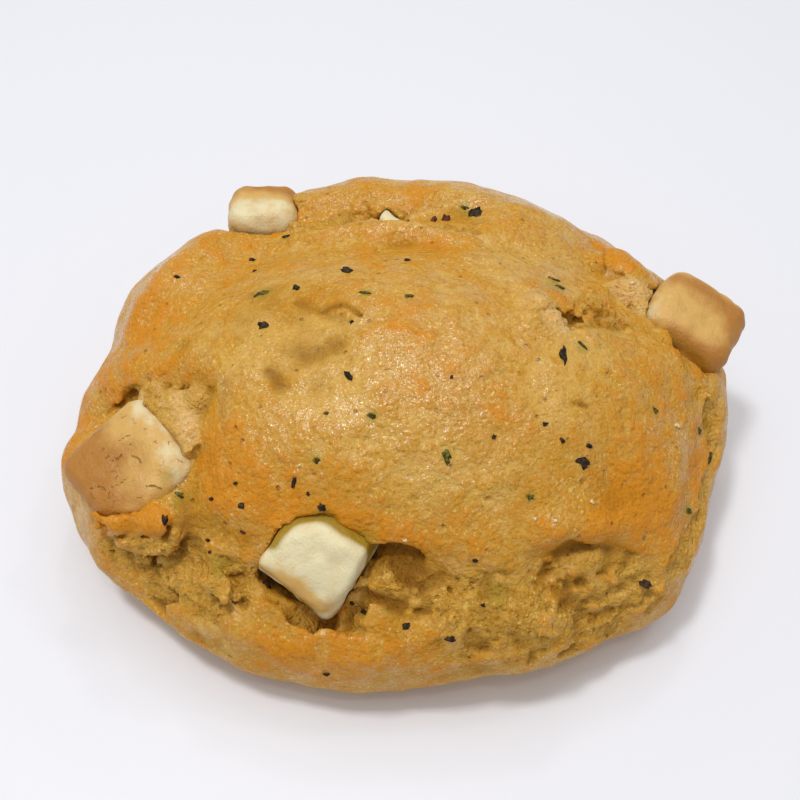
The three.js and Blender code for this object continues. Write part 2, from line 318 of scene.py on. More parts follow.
LIPS = (  # how far the ground below a path that runs right is lowered, over what width, undercut
    (476, 238, 456, 231, 440, 230, 418, 225, 395, 222, 370, 222, 345, 226, 325, 232, 300, 237,
     1.2, 2.4, 0.3),
    (110, 404, 118, 400, 130, 396, 140, 400, 150, 400, 1.3, 2, 0.6),
    (150, 397, 160, 390, 172, 394, 186, 392, 200, 393, 210, 388, 1, 1.4, 0.6),
    (205, 392, 203, 412, 197, 434, 0.4, 1.2, 0.3),
    (92, 512, 99, 522, 107, 521, 116, 531, 125, 530, 134, 540, 142, 537, 150, 546, 157, 538,
     165, 532, 169, 522, 1.7, 3.2, 0.9),
    (195, 589, 215, 597, 236, 600, 0.9, 3, 0.3), (238, 602, 233, 586, 224, 570, 1.5, 3.5, 0.4),
    (262, 556, 275, 538, 298, 519, 322, 507, 345, 524, 365, 537, 378, 547, 0.5, 2, -0.4),
    (368, 546, 390, 547, 410, 554, 424, 567, 434, 584, 1, 3, 0.3),
    (556, 546, 568, 540, 584, 539, 597, 545, 606, 551, 618, 549, 631, 550, 641, 557, 0.5, 1.6,
     0.2),
    (709, 372, 693, 357, 673, 346, 657, 334, 1.2, 3, 0.4),
    (690, 552, 702, 515, 706, 470, 706, 430, 709, 395, 707, 375, 0.9, 5, 0.2),
    (527, 300, 537, 292, 547, 302, 556, 311, 565, 317, 574, 311, 580, 300, 1.3, 2.2, 0.7),
    (573, 309, 582, 316, 592, 313, 604, 317, 614, 323, 627, 325, 1, 1.6, 0.9),
    (598, 240, 603, 254, 606, 267, 615, 274, 628, 278, 642, 282, 1.1, 2.2, 0.5),
    (584, 288, 592, 294, 602, 292, 606, 302, 612, 296, 0.8, 1.4, 0.6),
    (508, 330, 514, 324, 524, 328, 531, 326, 541, 324, 0.3, 1.2, 0.6),
    (440, 668, 500, 664, 570, 650, 640, 618, 690, 575, 0.35, 1.6, 0.3),
    (455, 640, 520, 642, 600, 624, 655, 592, 0.3, 1.6, 0.3),
    (120, 560, 160, 592, 215, 628, 260, 650, 0.5, 1.6, 0.5),
)
TEARS = (  # radius, how far its middle is under the crust
    (562, 320, 570, 323, 577, 316, 0.5, 0.2), (511, 326, 514, 338, 521, 346, 0.35, 0.1),
    (524, 330, 532, 340, 536, 352, 0.3, 0), (605, 318, 618, 324, 0.35, 0.1),
    (256, 574, 264, 590, 282, 607, 300, 620, 320, 626, 340, 621, 354, 608, 362, 594, 1.7, 0.8),
    (304, 621, 322, 627, 338, 622, 1.9, -0.7), (317, 618, 323, 618, 329, 617, 1.6, 0.2),
    (313, 613, 321, 616, 328, 614, 3, 0.4), (236, 352, 242, 358, 250, 356, 0.3, 0.05),
    (574, 402, 588, 406, 0.3, 0.05), (598, 596, 606, 592, 614, 590, 0.45, 0.1),
    (553, 590, 560, 584, 570, 581, 0.35, 0.1), (640, 606, 650, 600, 0.35, 0.1),
    (470, 650, 486, 655, 500, 652, 0.4, 0.1), (512, 640, 524, 634, 0.35, 0.1),
    (620, 580, 630, 577, 0.35, 0.1), (374, 548, 385, 552, 400, 553, 418, 562, 0.9, 0.6),
    (270, 370, 277, 382, 0.4, 0), (322, 309, 335, 303, 350, 306, 362, 316, 0.3, 0),
    (184, 391, 198, 394, 0.35, 0.2), (597, 619, 612, 613, 626, 611, 0.6, 0.1),
    (553, 600, 560, 592, 0.5, 0.1), (545, 613, 556, 608, 0.45, 0.1), (515, 627, 530, 640, 0.4, 0),
    (470, 560, 480, 572, 0.4, 0), (375, 598, 385, 594, 398, 600, 0.8, 0.4),
)
KNOBS = (  # lumps of crumb: column, row, radius, how far brought to the viewer, paleness
    (162, 412, 2.4, 1.4, 1.35), (169, 425, 2.8, 3.2, 1.3), (177, 438, 2.5, 1.4, 1.35),
    (185, 451, 2, 0.4, 1.4), (186, 406, 2.2, -0.3, 1.4), (192, 420, 2.5, -0.9, 1.3),
    (189, 434, 2.3, -0.6, 1.4), (171, 402, 1.8, 0.9, 1.4), (146, 397, 0.9, -0.2, 2.3),
    (160, 391, 1.3, -0.9, 0.6), (200, 400, 2, -0.7, 1.4), (124, 401, 0.9, -0.4, 1.9),
    (176, 486, 0.7, 0.1, 2.3), (181, 404, 1.1, 1.1, 2.3), (185, 414, 1.2, 1, 2.4),
    (188, 425, 1.2, 0.9, 2.4), (190, 436, 1.1, 0.8, 2.2), (157, 405, 1, 1.6, 2.3),
    (145, 543, 1.5, 0.3, 0.3), (134, 540, 1.2, 0.3, 0.3), (156, 541, 1.3, -0.2, 0.3),
    (168, 541, 1.3, -0.8, 0.2), (176, 533, 1.2, -0.8, 0.1), (537, 312, 2.3, -1.1, 2),
    (529, 322, 1.6, -0.9, 1.6), (550, 323, 1.5, -0.9, 1.9), (588, 303, 1.5, -0.9, 0.4),
    (630, 301, 3.2, -2.3, 2), (618, 290, 1.5, -0.7, 1.8), (640, 309, 1.4, -0.6, 1.6),
    (612, 272, 0.8, -0.4, 2.8), (388, 579, 3.2, -2.6, 0.2), (408, 594, 2.8, -2.4, 0.3),
    (418, 575, 2.4, -2, 0.6), (432, 596, 2.4, -2.1, 0.8), (140, 551, 0.9, 0.4, 0.5),
    (147, 557, 0.7, 0.4, 0.6), (130, 545, 0.8, 0.2, 0.4), (118, 537, 0.8, 0, 0.8),
    (225, 592, 1, -0.3, 0.8), (212, 583, 1.2, -0.5, 0.6), (560, 560, 3.2, -2.2, 1.1),
    (582, 556, 3.4, -2.2, 1.1), (604, 561, 3.4, -2.3, 1), (626, 564, 3.2, -2.2, 1),
    (556, 574, 2.8, -2.5, 1.2), (600, 572, 2.8, -2.5, 1.2), (580, 586, 3.2, -2.9, 1.1),
    (629, 583, 2.4, -2.2, 1.1), (296, 228, 1, -0.3, 1.2), (300, 200, 1, -0.2, 1),
)
BARE = (  # where the crust is torn off and crumb shows: spread, strength
    (130, 398, 160, 404, 195, 403, 2, 1.2), (165, 420, 185, 445, 2.6, 1.2),
    (300, 229, 345, 217, 395, 214, 440, 221, 475, 230, 1, 1), (530, 312, 548, 322, 2, 1),
    (575, 322, 600, 322, 640, 325, 1, 0.8), (585, 302, 606, 312, 1.3, 0.5),
    (620, 292, 636, 305, 1.9, 1), (135, 548, 190, 560, 240, 585, 3.4, 0.8),
    (110, 550, 160, 578, 230, 620, 2.4, 0.6), (385, 560, 425, 590, 460, 600, 3, 0.8),
    (480, 605, 550, 605, 620, 600, 670, 580, 4.6, 0.6), (430, 645, 520, 650, 600, 640, 3.2, 0.5),
    (714, 400, 718, 450, 705, 515, 685, 560, 1.9, 0.8), (330, 620, 350, 625, 2.5, 0.5),
)
HERB_HALOES = (  # column, row, spread
    (262, 294, 1.8), (366, 293, 1), (556, 284, 1.6), (583, 348, 0.9), (446, 456, 0.9),
    (180, 500, 1.6), (372, 416, 0.9), (655, 411, 0.8), (700, 431, 0.8), (688, 511, 1.2),
    (316, 458, 1.2), (530, 497, 0.9), (322, 517, 1.4), (365, 538, 1.2), (220, 565, 1.8),
    (390, 610, 1.2), (497, 592, 1.6), (170, 430, 0.8), (465, 210, 1.6),
)
FRINGES = (  # where loose crumbs stand up: spread, strength
    (105, 527, 125, 540, 145, 553, 162, 543, 1.7, 1), (150, 560, 190, 565, 225, 590, 3, 0.7),
    (530, 312, 550, 324, 575, 322, 1.8, 0.9), (575, 317, 600, 316, 628, 326, 1.2, 1),
    (592, 292, 606, 305, 1.4, 0.9), (300, 234, 345, 224, 395, 219, 440, 225, 475, 234, 0.9, 1),
    (380, 575, 410, 590, 440, 600, 3.2, 0.8), (134, 398, 150, 400, 1.2, 0.9),
    (545, 570, 600, 580, 650, 590, 3.4, 0.6),
)
GLOSSY = (  # glossy places, with more coat and painted highlight curls: spread, strength
    (480, 195, 540, 205, 600, 232, 625, 250, 1.8, 1),
    (175, 262, 150, 285, 130, 320, 122, 345, 2.4, 0.9), (370, 330, 420, 360, 450, 390, 5, 0.6),
    (270, 440, 300, 400, 5, 0.3), (470, 300, 480, 420, 6, 0.3),
    (624, 287, 634, 300, 641, 313, 1.1, 1.3), (172, 400, 182, 420, 190, 440, 1, 0.6),
)
SHADED = (  # painted shade, brown, in cracks and hollows, under lips, along low rims and on darker slopes: spread, strength
    (563, 320, 570, 318, 577, 313, 0.5, 0.7), (580, 315, 592, 315, 602, 317, 0.35, 0.4),
    (604, 318, 614, 323, 625, 325, 0.45, 0.6), (549, 304, 557, 312, 564, 317, 0.35, 0.4),
    (510, 327, 513, 336, 518, 344, 0.35, 0.5), (522, 331, 531, 327, 540, 324, 0.25, 0.3),
    (320, 311, 335, 304, 350, 307, 361, 316, 0.35, 0.4), (138, 403, 146, 408, 0.9, 0.7),
    (155, 397, 158, 388, 0.5, 0.6), (182, 393, 198, 395, 0.5, 0.6), (106, 406, 118, 403, 0.5, 0.5),
    (372, 551, 392, 554, 415, 563, 428, 578, 1.8, 0.35), (372, 590, 385, 600, 400, 606, 1.2, 0.3),
    (254, 574, 268, 594, 288, 612, 310, 622, 334, 624, 352, 612, 1.5, 0.45),
    (578, 602, 590, 622, 2, 0.3), (580, 534, 628, 535, 4, 0.26),
    (430, 680, 500, 672, 560, 662, 620, 640, 3, 0.28), (160, 618, 215, 648, 3, 0.3),
    (490, 598, 510, 605, 3, 0.24), (250, 300, 300, 288, 345, 284, 5, 0.22),
    (212, 518, 250, 532, 290, 512, 4, 0.25), (330, 528, 385, 540, 3, 0.22),
    (183, 350, 200, 385, 3, 0.26), (255, 325, 300, 370, 6, 0.14), (178, 485, 185, 515, 2.5, 0.28),
    (375, 628, 450, 638, 520, 648, 4, 0.22), (152, 553, 170, 548, 184, 536, 1.6, 0.45),
    (376, 562, 392, 574, 405, 590, 3, 0.5), (556, 568, 620, 574, 4, 0.22),
    (665, 372, 680, 395, 3, 0.14), (420, 245, 480, 260, 4, 0.16), (290, 330, 340, 350, 6, 0.16),
    (152, 545, 168, 537, 1.2, 0.6), (110, 540, 120, 545, 1, 0.4), (236, 600, 232, 585, 0.8, 0.6),
    (570, 545, 582, 543, 600, 550, 0.5, 0.5), (612, 558, 628, 554, 640, 562, 0.5, 0.35),
    (595, 620, 612, 613, 626, 611, 0.5, 0.4), (557, 598, 572, 610, 1.2, 0.25),
    (268, 370, 278, 384, 0.7, 0.3), (690, 522, 700, 505, 0.8, 0.3),
    (575, 402, 590, 405, 0.6, 0.15),
)
TOASTED = (  # spread, strength; less than zero is paler
    (150, 315, 165, 300, 6, 0.9), (215, 240, 240, 240, 4, 0.6), (230, 450, 300, 480, 7, 0.7),
    (480, 510, 560, 515, 640, 500, 7, 0.75), (660, 420, 680, 470, 6, 0.7),
    (280, 655, 330, 665, 370, 660, 3.4, 1), (110, 520, 155, 524, 2.4, 2),
    (606, 250, 622, 264, 634, 274, 2, 1.5), (535, 285, 560, 300, 570, 310, 1.8, 0.9),
    (330, 245, 430, 245, 6, 0.4), (80, 420, 75, 440, 3, 0.9), (400, 350, 440, 380, 7, 0.45),
    (310, 340, 330, 390, 6, -0.8), (515, 268, 575, 270, 6, -0.6), (470, 450, 440, 500, 6, -0.3),
    (540, 370, 580, 400, 5, -0.4), (235, 400, 250, 350, 4, -0.7), (200, 340, 210, 300, 4, -0.3),
    (350, 420, 420, 440, 5, -0.5), (500, 400, 520, 440, 4, 0.4), (590, 430, 620, 480, 5, 0.5),
    (210, 470, 220, 430, 4, 0.5), (380, 520, 440, 530, 4, 0.5), (250, 520, 230, 540, 4, -0.2),
    (480, 195, 560, 225, 3, -0.3), (195, 404, 200, 420, 1.5, -1), (95, 400, 104, 406, 1.5, -1.8),
    (625, 285, 636, 303, 0.5, -1.5), (528, 306, 540, 312, 550, 322, 2, -1.8),
    (620, 290, 640, 308, 2.2, -1.6), (565, 326, 595, 325, 620, 330, 1.6, -1.3),
    (380, 450, 460, 470, 545, 480, 5.5, -0.7), (440, 495, 480, 510, 4, -0.55),
    (665, 525, 680, 540, 3, 0.7), (540, 512, 585, 520, 4, 0.3), (460, 545, 500, 550, 3, -0.4),
    (225, 505, 300, 505, 4, 0.7), (340, 518, 400, 535, 3, 0.7), (140, 350, 190, 368, 4.5, 1),
    (100, 370, 110, 400, 4, 0.6), (684, 400, 700, 450, 690, 505, 3.5, 0.8),
    (420, 650, 380, 640, 4, 0.5), (540, 360, 590, 350, 4, -0.6), (560, 400, 620, 395, 4, -0.5),
    (300, 425, 300, 445, 4, -0.5), (300, 330, 350, 345, 4, -0.4), (590, 520, 640, 525, 3, 0.4),
    (300, 245, 320, 234, 350, 224, 383, 221, 410, 226, 440, 233, 486, 242, 0.9, -2.8),
)


def curve(path, steps=3):
    """More points on a smooth curve through the path's points."""
    path = pairs(path).astype(float)
    if len(path) < 3:
        return path
    ends = np.vstack([2 * path[0] - path[1], path, 2 * path[-1] - path[-2]])
    points = []
    for before, start, end, after in zip(ends, ends[1:], ends[2:], ends[3:]):
        for t in np.arange(steps) / steps:
            square = 2 * before - 5 * start + 4 * end - after
            cube = 3 * start - before - 3 * end + after
            points.append(start + 0.5 * ((end - before) * t + square * t**2 + cube * t**3))
    return np.array(points + [path[-1]])


def spot(distance, spread):
    return np.exp(-((distance / spread) ** 2))


def near(volume, path, spread):
    """The part of the grid within reach of a path, the distances there and nearest stretches."""
    path = np.array(path, np.float32)
    if len(path) == 1:
        path = np.vstack([path, path + 0.01])
    part, grid = volume.window(path.min(0) - spread, path.max(0) + spread)
    best = np.full(volume.field[part].shape, 1e9, np.float32)
    which = np.zeros(best.shape, np.int32)
    for index, (a, b) in enumerate(zip(path, path[1:])):
        distance = segment_distance(grid, a, b)
        closer = distance < best
        best[closer] = distance[closer]
        which[closer] = index
    return part, best, which


def painted(volume, rows, lift=-0.2):
    """A layer of soft spots and strokes; each row has a path, spread and strength."""
    layer = np.zeros(volume.field.shape, np.float32)
    for *path, spread, strength in rows:
        part, distance, _ = near(volume, on_crust(path, lift), FADED * spread)
        layer[part] += strength * spot(distance, spread)
    return layer


def painted_points(points, tree, aim, rows):
    """Like painted, on the points of a piece that the tree was made of."""
    layer = np.zeros(len(points), np.float32)
    for *path, spread, strength in rows:
        path = [tuple(seen(*pixel, tree, aim)[0]) for pixel in pairs(path)]
        if len(path) == 1:
            path.append(path[0])
        distance = np.min(
            [segment_distance(points.T, a, b) for a, b in zip(path, path[1:])], axis=0
        )
        layer += strength * spot(distance, spread)
    return layer


def swell(volume, rows):
    for *path, spread, height in rows:
        part, distance, _ = near(volume, on_crust(path), FADED * spread)
        volume.field[part] -= height * spot(distance, spread)


def tear(volume, rows, rough, softness=0.3, wobble=0.35, most=1.2):
    for *path, radius, sunk in rows:
        part, distance, _ = near(volume, on_crust(curve(path), -sunk), 2 * radius + 2)
        trench = distance - radius * (1 + wobble * np.clip(rough[part], -most, most))
        volume.field[part] = soft_max(volume.field[part], -trench, softness)


def cut_lip(volume, path, drop, width, undercut, rough):
    """Lowers the ground on one side of a path, with a sharp and undercut edge along it."""
    wobble, ends, reach, softness = 0.5, 1.2, 2.2, 0.25
    hits = [seen(*pixel) for pixel in curve(path)]
    path = np.array([tuple(hit) for hit, _ in hits])
    outward = np.array([tuple(out) for _, out in hits])
    part, _, which = near(volume, path, reach * width)
    grid = volume.grid(part)
    lengths = np.linalg.norm(np.diff(path, axis=0), axis=1)
    tangents = np.diff(path, axis=0) / lengths[:, None]
    sides = np.cross(tangents, outward[:-1] + outward[1:])
    sides /= np.linalg.norm(sides, axis=1, keepdims=True)
    aside = sum((grid[i] - path[which, i]) * sides[which, i] for i in range(3))
    ahead = sum((grid[i] - path[which, i]) * tangents[which, i] for i in range(3))
    last = len(lengths) - 1
    beyond = np.maximum(-ahead, 0) * (which == 0)
    beyond = beyond + np.maximum(ahead - lengths[which], 0) * (which == last)
    fade = np.sin(np.pi * np.clip((which + 0.5) / (last + 1), 0.02, 0.98)) ** 0.5
    depth = -volume.field[part]
    spread = np.exp(-((np.maximum(aside, 0) / width) ** 2) - (beyond / ends) ** 2)
    wall = aside + wobble * rough[part] + undercut * depth
    lowered = np.minimum(wall, drop * fade * spread - depth)
    volume.field[part] = soft_max(volume.field[part], lowered, softness)


def plane_distance(volume, path, lean, top, face):
    """Distances past a plane through two pixels of the face at top, leaning back below them."""
    start, end = (
        CAMERA_AT + ray * ((top - CAMERA_AT).dot(face) / ray.dot(face))
        for ray in (ray_through(*pixel) for pixel in pairs(path))
    )
    along = (end - start).normalized()
    lean = math.radians(lean)
    normal = face * math.cos(lean) + along.cross(face) * math.sin(lean)
    return past_plane(volume.grid(), start, normal)


BEVELS = {  # faces cut on the cheese: lean in degrees, softness
    "cheese_front": (
        (262, 564, 330, 596, 38, 1.5), (362, 561, 320, 525, 44, 0.5),
        (320, 525, 268, 547, 44, 0.5), (266, 571, 311, 606, 78, 0.6),
        (316, 611, 349, 592, 70, 0.9), (344, 600, 360, 555, 76, 0.6),
    ),
}
COVERED = {  # corners that the crust runs over: lean in degrees, softness
    "cheese_left": ((90, 512, 157, 506, 78, 0.5),),
    "cheese_rear": ((404, 221, 386, 206, 80, 0.4), (386, 206, 377, 220, 80, 0.4)),
}


def cheese_volume(node, voxel, band, margin=3, flatness=0.75, overlap=0.3):
    """A cheese cube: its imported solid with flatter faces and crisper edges."""
    middle, edges, rounding, turns = CHEESES[node]
    volume = Volume(*node_arrays(node), voxel, band)
    volume.field = np.pad(volume.field, margin, constant_values=volume.field.max())
    volume.low = volume.low - margin
    turn = Matrix.Identity(3)
    for axis, angle in zip("XYZ", turns):
        turn = turn @ Matrix.Rotation(math.radians(angle), 3, axis)
    outside, inside = 0, -1e9
    for way, edge in zip(turn.col, edges):
        over = np.abs(past_plane(volume.grid(), middle, way)) - edge / 2 + rounding
        outside = outside + np.maximum(over, 0) ** 2
        inside = np.maximum(inside, over)
    box = np.sqrt(outside) + np.minimum(inside, 0) - rounding
    whole = (1 - flatness) * volume.field + flatness * box
    volume.field = whole
    face = turn.col[2].copy()
    top = Vector(middle) + face * (edges[2] / 2)
    volume.face, volume.top = face, top
    volume.covered = np.full(volume.field.shape, FAR, np.float32)
    for *path, lean, softness in BEVELS.get(node, ()) + COVERED.get(node, ()):
        plane = plane_distance(volume, path, lean, top, face)
        volume.field = soft_max(volume.field, plane, softness)
        if node in COVERED:
            volume.covered = np.minimum(volume.covered, np.maximum(whole - overlap, -plane))
    return volume


def shared(outer, inner):
    """The parts of two grids of one voxel size that cover the same place."""
    first = inner.low - outer.low
    last = first + inner.field.shape
    theirs = [slice(max(a, 0), min(b, n)) for a, b, n in zip(first, last, outer.field.shape)]
    ours = [slice(part.start - a, part.stop - a) for part, a in zip(theirs, first)]
    return tuple(theirs), tuple(ours)


def uncover(volume, cube, reach, thickness=1.6, gap=0.1, softness=0.15):
    """Cuts away what stands between the viewer and a cube's face."""
    slab = np.maximum(cube.field, -cube.beyond(cube) - thickness)
    toward = np.array((CAMERA_AT - cube.top).normalized())
    low = cube.low * cube.voxel
    high = low + np.array(cube.field.shape) * cube.voxel
    low, high = low + np.minimum(toward, 0) * reach, high + np.maximum(toward, 0) * reach
    part, grid = volume.window(low, high)
    places = np.stack(np.broadcast_arrays(*grid), -1).reshape(-1, 3)
    swept = np.full(len(places), FAR, np.float32)
    for step in range(1, reach + 1):
        swept = np.minimum(swept, cube.sample(slab, places - toward * step))
    swept = swept.reshape(volume.field[part].shape)
    volume.field[part] = soft_max(volume.field[part], gap - swept, softness)


def hug(volume, cube, gap=0.1, flare=0.7, softness=1.2):
    """Draws the dough up to a cube's sides, over its covered corners too."""
    theirs, ours = shared(volume, cube)
    beside = np.minimum(volume.field[theirs], cube.covered[ours])
    wall = cube.field[ours] + gap + flare * step_up(0.2, 1.6, beside)
    volume.field[theirs] = soft_min(beside, wall, softness)


dough = Volume(*node_arrays("dough"), DOUGH_VOXEL, DOUGH_BAND)
dough.field = blurred(dough.field, FACET_BLUR)
cubes = [cheese_volume(node, DOUGH_VOXEL, DOUGH_BAND) for node in CHEESES]
for cube in cubes:
    hug(dough, cube)
skin_field = dough.field.copy()
rough = 0.6 * dough.noise(2.2, 21) + 0.4 * dough.noise(1.1, 22)
swell(dough, SWELLINGS)
haloes = [(*halo, 1) for halo in HERB_HALOES]
bare, toast, olive, gloss, shaded = (
    painted(dough, rows) for rows in (BARE, TOASTED, haloes, GLOSSY, SHADED)
)
crumb = step_up(0.3, 0.75, bare + 0.12 * rough) * np.clip(bare + 0.2, 0, 1)
for *path, drop, width, undercut in LIPS:
    cut_lip(dough, path, drop, width, undercut, rough)
tear(dough, TEARS, rough)
ragged = bare + 0.16 * rough + 0.10 * dough.noise(0.9, 23)
dough.field += RAGGED_DROP * step_up(0.42, 0.6, ragged)
crumb = np.maximum(crumb, 0.8 * step_up(0.38, 0.55, ragged))
crumb = np.maximum(crumb, 0.85 * step_up(0.6, 1.3, -skin_field))

sunk, blend = 0.4, 0.7  # of a lump under a cube's plane, and into the ground
for column, row, radius, nearer, paleness in KNOBS:
    middle = seen(column, row)[0] - ray_through(column, row) * nearer
    part, distance, _ = near(dough, [tuple(middle)], radius + 2)
    lump = distance - radius * (1 + 0.1 * rough[part])
    for cube in cubes:
        if (middle - cube.top).length < NEAR_CUBE:
            lump = np.maximum(lump, cube.beyond(dough, part) + sunk)
    dough.field[part] = soft_min(dough.field[part], lump, blend)
    cover = step_up(-0.9, 0.1, -lump)
    crumb[part] = np.maximum(crumb[part], 0.8 * cover)
    toast[part] += cover * (-paleness - toast[part])

CRUST_RELIEF = ((0.12, 5.0, 1), (0.07, 1.8, 2), (0.03, 0.9, 3))  # height, width, seed
CRUMB_RELIEF = ((0.12, 3.6, 4), (0.08, 1.7, 5), (0.06, 0.9, 6))
dough.field += sum(
    share * sum(height * dough.noise(width, seed) for height, width, seed in rows)
    for rows, share in ((CRUST_RELIEF, 1 - crumb), (CRUMB_RELIEF, crumb))
)


def stamp(count, mask, least, most, seed, pores=False, stray=0.12, reach=0.8):
    """Small round grains, or pores, at random places of the skin under a mask."""
    draw = np.random.default_rng(seed)
    places = np.argwhere((np.abs(dough.field) < 0.5 * dough.voxel) & (mask > 0.4))
    for place in places[draw.integers(0, len(places), count)]:
        radius = least + (most - least) * draw.random() ** 3
        middle = (place + dough.low) * dough.voxel + draw.normal(0, stray, 3)
        part, grid = dough.window(middle - radius - reach, middle + radius + reach)
        ball = np.sqrt(sum((axis - at) ** 2 for axis, at in zip(grid, middle))) - radius
        if pores:
            dough.field[part] = soft_max(dough.field[part], -ball, 0.2)
        else:
            dough.field[part] = soft_min(dough.field[part], ball, 0.3)


above_base = np.broadcast_to(dough.grid()[2] > CLEAN_BASE, dough.field.shape)
dry = crumb * above_base * (toast > -1.2)
stamp(700, dry, 0.15, 0.4, 31, pores=True)
stamp(900, crumb * above_base, 0.2, 0.4, 32)
stamp(160, (1 - crumb) * above_base, 0.25, 0.45, 33, pores=True)
stamp(650, painted(dough, FRINGES), 0.28, 0.65, 34)

uncover(dough, cubes[0], 6)
uncover(dough, cubes[2], 3)
for cube in cubes:
    theirs, ours = shared(dough, cube)
    dough.field[theirs] = np.maximum(dough.field[theirs], CUBE_GAP - cube.field[ours])
dough.field = np.maximum(dough.field, -dough.grid()[2])
# painted shade: the painted shade layer plus how far the dough lies below its blurred surface; it
# browns the crust colour in hollows and cracks
hollows_and_shade = shaded - blurred(dough.field, CREVICE_BLUR)

points, quads = main_part(*dough.mesh())
dough_piece = make_object("dough_crust", points, quads)
reduce(dough_piece, MOST_TRIANGLES)
points = mesh_points(dough_piece.data)
layers = {"hollows_and_shade": hollows_and_shade, "crumb": crumb, "toast": toast, "olive": olive, "gloss": gloss}
for name, layer in layers.items():
    add_attribute(dough_piece, name, dough.sample(layer, points))
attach(dough_piece, "root")
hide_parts("dough")

# ---- the cheese
BROWNED_AND_SHADED = {  # browning, and painted shade on lower faces and near the crust: a path, spread, strength
    "cheese_left": (
        (92, 450, 105, 470, 98, 490, 5, 1), (70, 450, 74, 470, 90, 498, 2.4, 1.5),
        (66, 455, 80, 435, 100, 415, 125, 405, 1.6, 0.35), (110, 455, 135, 470, 150, 495, 4, 0.3),
        (150, 440, 160, 455, 145, 485, 6, 0.24), (125, 415, 140, 435, 3, 0.1),
        (100, 512, 130, 508, 155, 503, 2, 0.4),
    ),
    "cheese_front": (
        (263, 568, 289, 587, 313, 607, 1.9, 0.66), (288, 580, 306, 592, 1.4, 0.2),
        (318, 606, 334, 604, 1.4, 0.35), (318, 545, 325, 575, 4, 0.06),
    ),
    "cheese_right": (
        (700, 300, 722, 325, 7, 0.65), (678, 276, 710, 292, 740, 316, 1.8, 0.6),
        (742, 325, 730, 350, 716, 368, 2.2, 0.9), (670, 334, 690, 347, 712, 362, 1.9, 1.3),
        (675, 281, 700, 288, 728, 306, 3.2, 0.3), (656, 300, 658, 318, 2.2, 0.12),
    ),
    "cheese_rear_left": (
        (235, 190, 262, 187, 290, 192, 2.2, 1.2), (240, 206, 262, 215, 290, 212, 7, 0.2),
        (292, 200, 296, 225, 1.2, 0.3), (228, 200, 230, 225, 1.2, 0.3),
    ),
    "cheese_rear": ((380, 216, 400, 218, 1, 0.05),),
}
CHEESE_SHADES = {  # painted shade, olive, where the cheese meets the crust and on its lower faces: a path, spread, strength
    "cheese_front": (
        (318, 510, 346, 528, 370, 544, 1.3, 1.3), (314, 512, 290, 522, 266, 538, 1.1, 1.3),
        (264, 582, 290, 602, 308, 614, 0.7, 0.8), (263, 569, 289, 589, 313, 609, 1.4, 0.45),
        (374, 546, 368, 560, 360, 578, 0.8, 1),
    ),
    "cheese_right": ((672, 338, 688, 350, 707, 366, 1.1, 0.45), (654, 312, 662, 326, 1.6, 0.2)),
    "cheese_left": ((170, 475, 165, 479, 1.1, 0.45),),
    "cheese_rear_left": ((235, 230, 262, 234, 290, 232, 0.9, 0.5),),
    "cheese_rear": (),
}
CRACKS = (  # on the left cheese: a path, spread, strength
    (91, 489, 96, 486, 101, 487, 105, 490, 0.12, 0.8), (113, 494, 114, 502, 112, 508, 0.12, 0.45),
    (112, 487, 120, 484, 127, 478, 0.12, 0.7), (111, 461, 118, 459, 123, 454, 0.12, 1),
    (106, 458, 109, 456, 0.12, 0.8), (132, 456, 138, 458, 141, 463, 0.12, 0.9),
    (119, 441, 125, 437, 133, 434, 0.12, 0.6), (130, 445, 135, 441, 0.12, 0.6),
    (147, 486, 154, 486, 161, 489, 0.12, 0.9), (98, 508, 105, 500, 0.12, 0.5),
    (163, 461, 166, 468, 0.12, 0.5),
)

cheese_pieces = {}
for node in CHEESES:
    cube = cheese_volume(node, CHEESE_VOXEL, CHEESE_BAND)
    cube.field += 0.12 * cube.noise(3.0, 11) + 0.06 * cube.noise(1.2, 12)
    cube.field += 0.03 * cube.noise(0.6, 14)
    points, quads = cube.mesh()
    piece = make_object(node + "_cube", points, quads)
    tree = BVHTree.FromPolygons(points.tolist(), quads.tolist())
    away = Vector(CHEESES[node][0]) - CAMERA_AT
    aim = Vector((away.x, -away.dot(UPRIGHT))) * CAMERA_FOCAL / away.dot(LOOK)
    aim = (MIDDLE_PIXEL + aim.x, MIDDLE_PIXEL + aim.y)
    points = mesh_points(piece.data)
    cracked = node == "cheese_left"
    # browning with painted shade, painted olive shade, and drawn cracks on the left cheese
    layers = {"browned_and_shaded": BROWNED_AND_SHADED[node], "cheese_shade": CHEESE_SHADES[node], "crack": CRACKS if cracked else ()}
    for name, rows in layers.items():
        add_attribute(piece, name, painted_points(points, tree, aim, rows))
    add_attribute(piece, "cracked", np.full(len(points), cracked))
    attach(piece, "root")
    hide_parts(node)
    cheese_pieces[node] = piece

